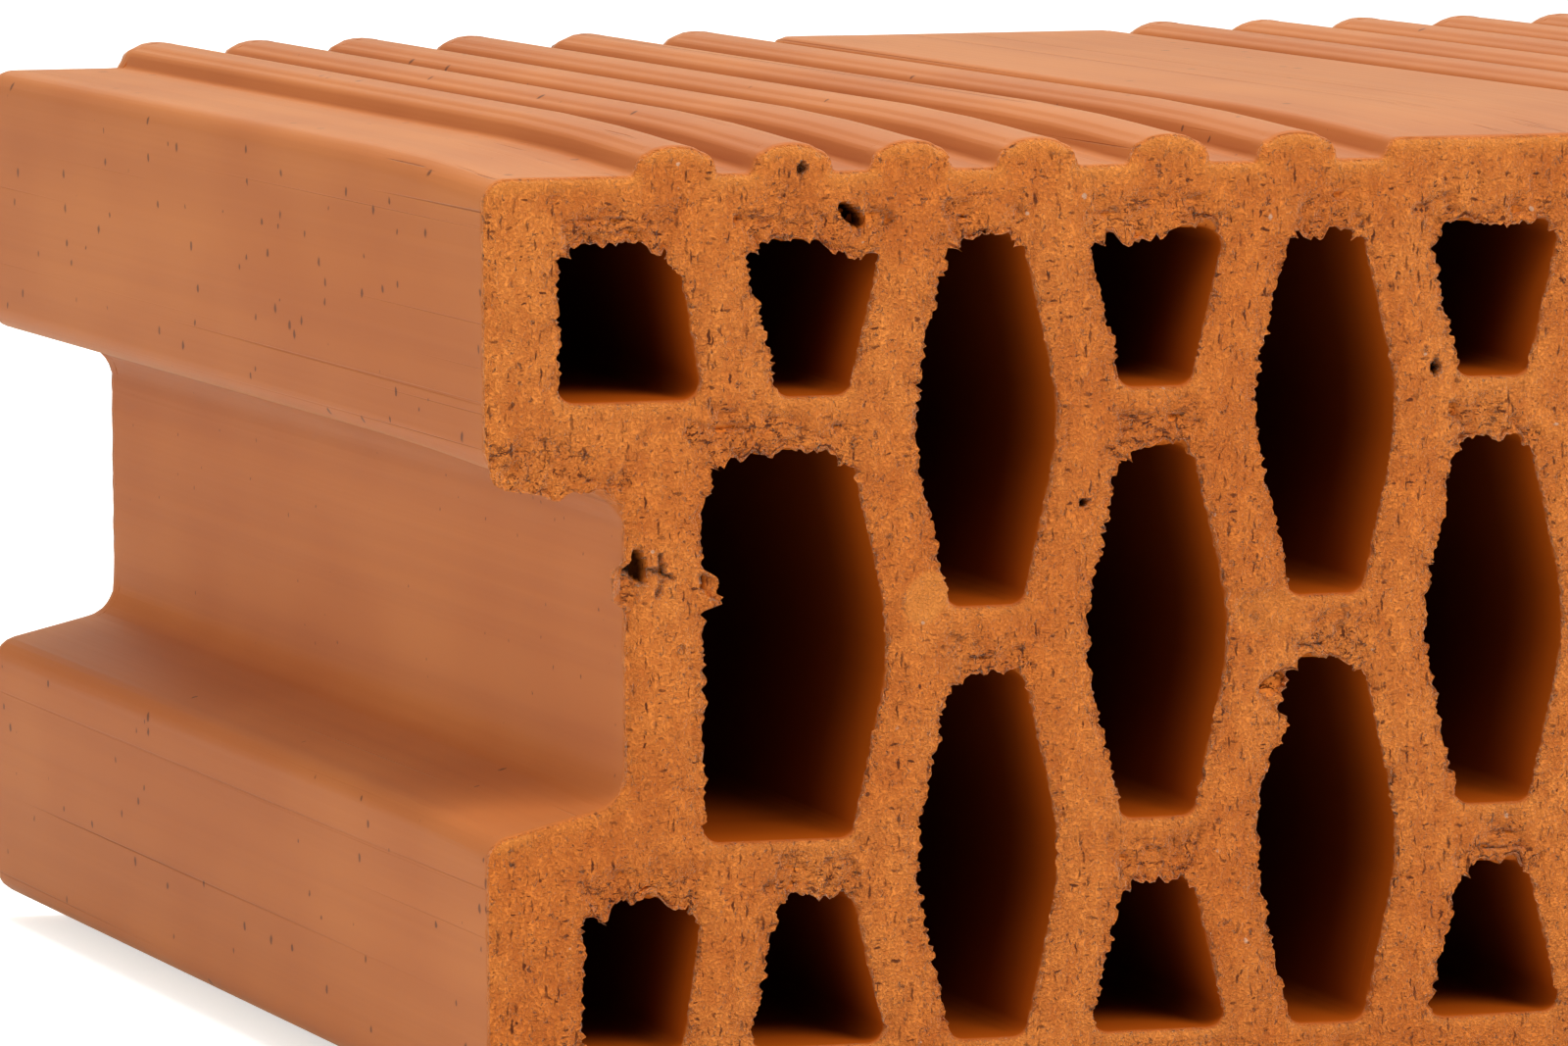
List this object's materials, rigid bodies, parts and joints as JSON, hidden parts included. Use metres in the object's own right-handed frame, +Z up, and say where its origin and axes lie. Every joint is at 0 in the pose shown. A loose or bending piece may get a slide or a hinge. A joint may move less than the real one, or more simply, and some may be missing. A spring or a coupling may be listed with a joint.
{
  "type": "hollow clay block",
  "caption": "Vertically perforated fired clay block with staggered hexagonal cells, a grooved end, a tongued end and ribbed faces that key plaster.",
  "frame": {"origin": "centre of the block's footprint, on the plane its rib crests rest on", "axes": "+Z up through the wall's thickness, +X along the wall from the grooved end to the tongued end, +Y along the extrusion, from the pictured cut face into the block"},
  "size_m": [0.5132, 0.238, 0.115],
  "materials": {
    "fired_clay": "matt, unglazed, wire-cut on the perforated faces and die-smoothed on the others"
  },
  "bodies": {
    "root": {"clay_block": "fired_clay"}
  },
  "joints": []
}
